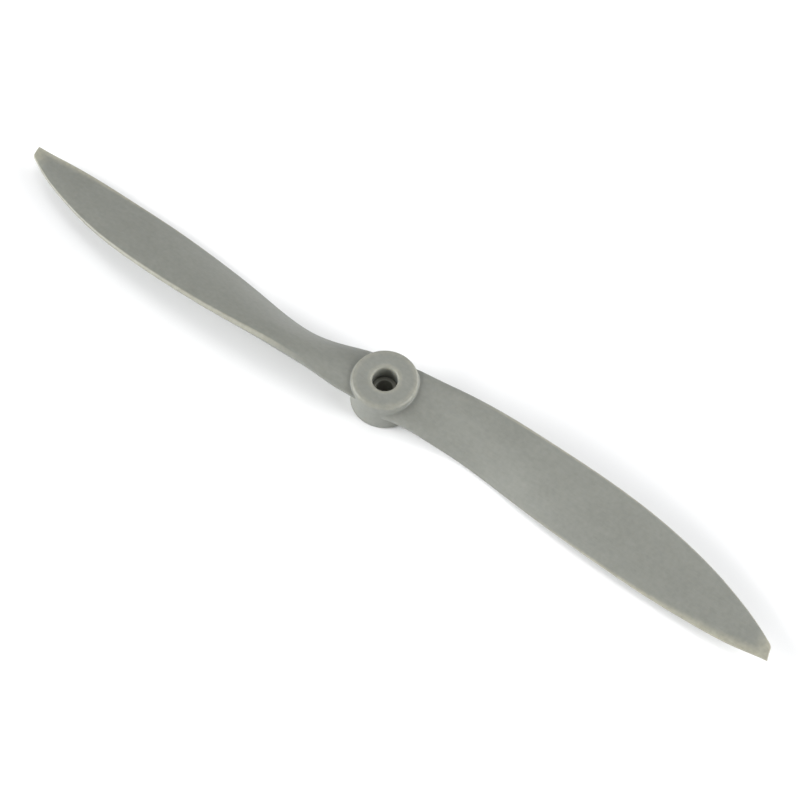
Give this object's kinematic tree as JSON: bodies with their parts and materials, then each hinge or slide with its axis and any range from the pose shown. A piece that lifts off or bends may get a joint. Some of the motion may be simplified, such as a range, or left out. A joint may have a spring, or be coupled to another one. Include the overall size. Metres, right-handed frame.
{
  "type": "two-blade model aircraft propeller",
  "caption": "Moulded nylon propeller with twisted aerofoil blades either side of a round bored hub, and a push-in reducer bush for a smaller motor shaft.",
  "frame": {"origin": "centre of the hub's rear face, on the shaft axis, which is the lowest point of the part at its middle", "axes": "+Z along the motor shaft from the rear face to the front face, +X from tip to tip through the shaft axis, +Y across the blades. The +X blade leads with its +Y edge"},
  "size_m": [0.2286, 0.0232, 0.0115],
  "materials": {
    "grey_glass_filled_nylon": "satin moulded",
    "grey_nylon_bush": "satin moulded"
  },
  "bodies": {
    "propeller": {"propeller": "grey_glass_filled_nylon"},
    "bush": {"reducer_bush": "grey_nylon_bush"}
  },
  "joints": [
    {"name": "bush_pull_out", "type": "slide", "parent": "propeller", "child": "bush", "axis": [0, 0, 1], "range_m": [0, 0.012]}
  ]
}
